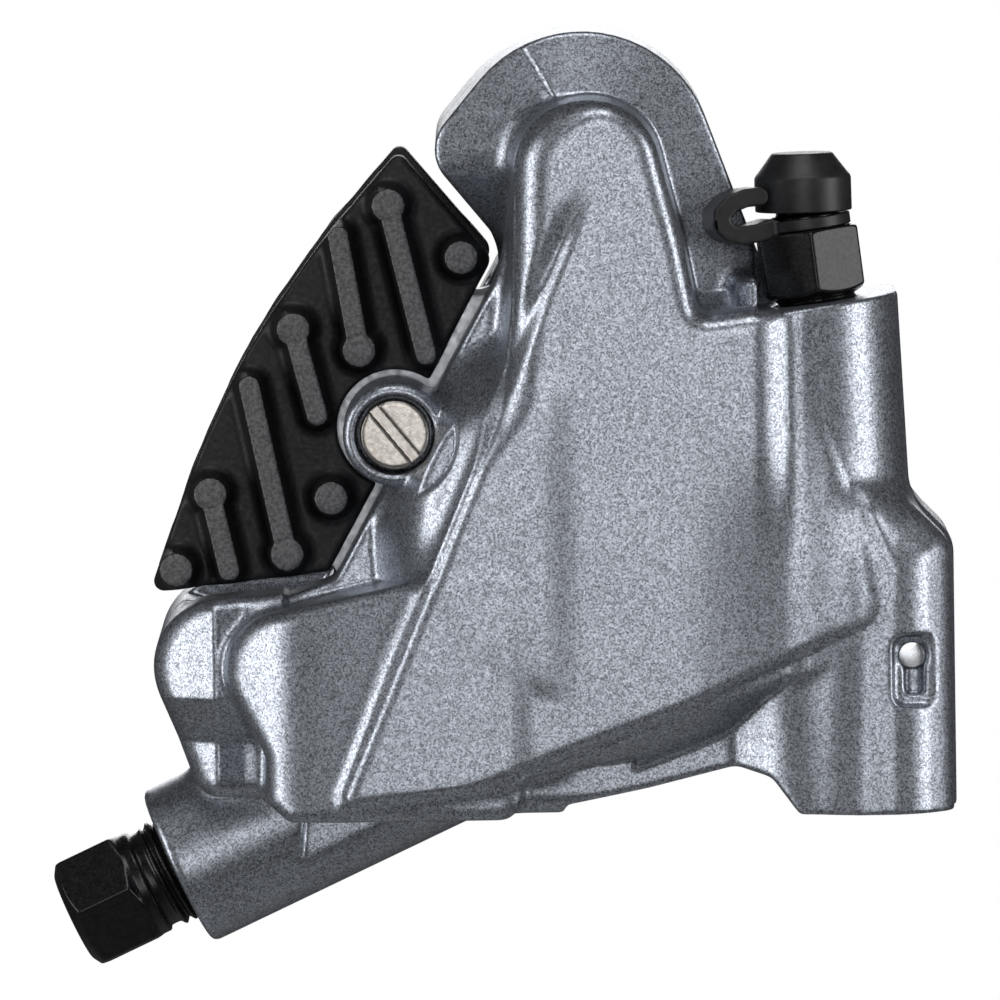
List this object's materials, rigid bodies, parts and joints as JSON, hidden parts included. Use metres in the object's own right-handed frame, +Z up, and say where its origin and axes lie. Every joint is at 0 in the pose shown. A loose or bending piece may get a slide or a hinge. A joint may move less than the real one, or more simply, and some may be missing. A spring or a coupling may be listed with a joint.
{
  "type": "bicycle disc brake caliper",
  "caption": "Flat-mount hydraulic disc brake caliper with finned pads, slotted pad axle, capped bleed nipple and hose nut.",
  "frame": {"origin": "midway between the axes of the two frame bolts, on the mounting face", "axes": "+X towards the rear of the bicycle along the line of the frame bolts, +Z up out of the frame, +Y towards the wheel, along the rotor's axis"},
  "size_m": [0.0649, 0.0356, 0.0681],
  "materials": {
    "body_paint": "satin metallic grey paint",
    "black_steel": "black oxide",
    "rubber": "satin black rubber",
    "piston": "ground ceramic",
    "pad_steel": "zinc plated",
    "fin_black": "matt black paint",
    "lining": "pressed resin friction material",
    "spring_steel": "bright spring steel",
    "nickel": "nickel plated",
    "brass": "turned brass"
  },
  "bodies": {
    "caliper": {"outer_body": "body_paint", "inner_body": "body_paint", "body_bolts": "black_steel", "crossover_seal": "rubber", "outer_piston_seal": "rubber", "inner_piston_seal": "rubber", "pad_spring": "spring_steel"},
    "outer_piston": {"outer_piston": "piston"},
    "inner_piston": {"inner_piston": "piston"},
    "outer_pad": {"outer_pad_plate": "pad_steel", "outer_pad_fin": "fin_black", "outer_pad_lining": "lining"},
    "inner_pad": {"inner_pad_plate": "pad_steel", "inner_pad_fin": "fin_black", "inner_pad_lining": "lining"},
    "pad_axle": {"pad_axle": "nickel", "pad_axle_clip": "spring_steel"},
    "bleed_nipple": {"bleed_nipple": "black_steel", "cap_tether": "rubber"},
    "bleed_cap": {"bleed_cap": "rubber"},
    "olive": {"olive": "brass"},
    "hose_nut": {"hose_nut": "black_steel"}
  },
  "joints": [
    {"name": "outer_piston_slide", "type": "slide", "parent": "caliper", "child": "outer_piston", "axis": [0, 1, 0], "range_m": [0, 0.001], "deforming": ["pad_spring"]},
    {"name": "inner_piston_slide", "type": "slide", "parent": "caliper", "child": "inner_piston", "axis": [0, -1, 0], "range_m": [0, 0.001]},
    {"name": "outer_pad_slide", "type": "slide", "parent": "caliper", "child": "outer_pad", "axis": [0, 1, 0], "range_m": [0, 0.001]},
    {"name": "inner_pad_slide", "type": "slide", "parent": "caliper", "child": "inner_pad", "axis": [0, -1, 0], "range_m": [0, 0.001]},
    {"name": "pad_axle_turn", "type": "hinge", "parent": "caliper", "child": "pad_axle", "pos_m": [-0.01675, 0, 0.0273], "axis": [0, -1, 0], "range_deg": [0, 90]},
    {"name": "bleed_nipple_turn", "type": "hinge", "parent": "caliper", "child": "bleed_nipple", "pos_m": [0.0134, 0, 0.0362], "axis": [-0.1184, 0, 0.993], "range_deg": [0, 90]},
    {"name": "bleed_cap_pull", "type": "slide", "parent": "bleed_nipple", "child": "bleed_cap", "axis": [-0.1184, 0, 0.993], "range_m": [0, 0.006], "deforming": ["cap_tether"]},
    {"name": "hose_nut_travel", "type": "slide", "parent": "caliper", "child": "olive", "axis": [-0.9078, 0, -0.4195], "range_m": [0, 0.009]},
    {"name": "hose_nut_turn", "type": "hinge", "parent": "olive", "child": "hose_nut", "pos_m": [-0.0333, 0.0184, -0.00575], "axis": [-0.9078, 0, -0.4195], "range_deg": [0, 4325]}
  ],
  "couplings": [
    {"joint": "inner_piston_slide", "follows": "outer_piston_slide", "ratio": 1},
    {"joint": "outer_pad_slide", "follows": "outer_piston_slide", "ratio": 1},
    {"joint": "inner_pad_slide", "follows": "outer_piston_slide", "ratio": 1},
    {"joint": "hose_nut_turn", "follows": "hose_nut_travel", "rad_per_m": 8377.6}
  ]
}
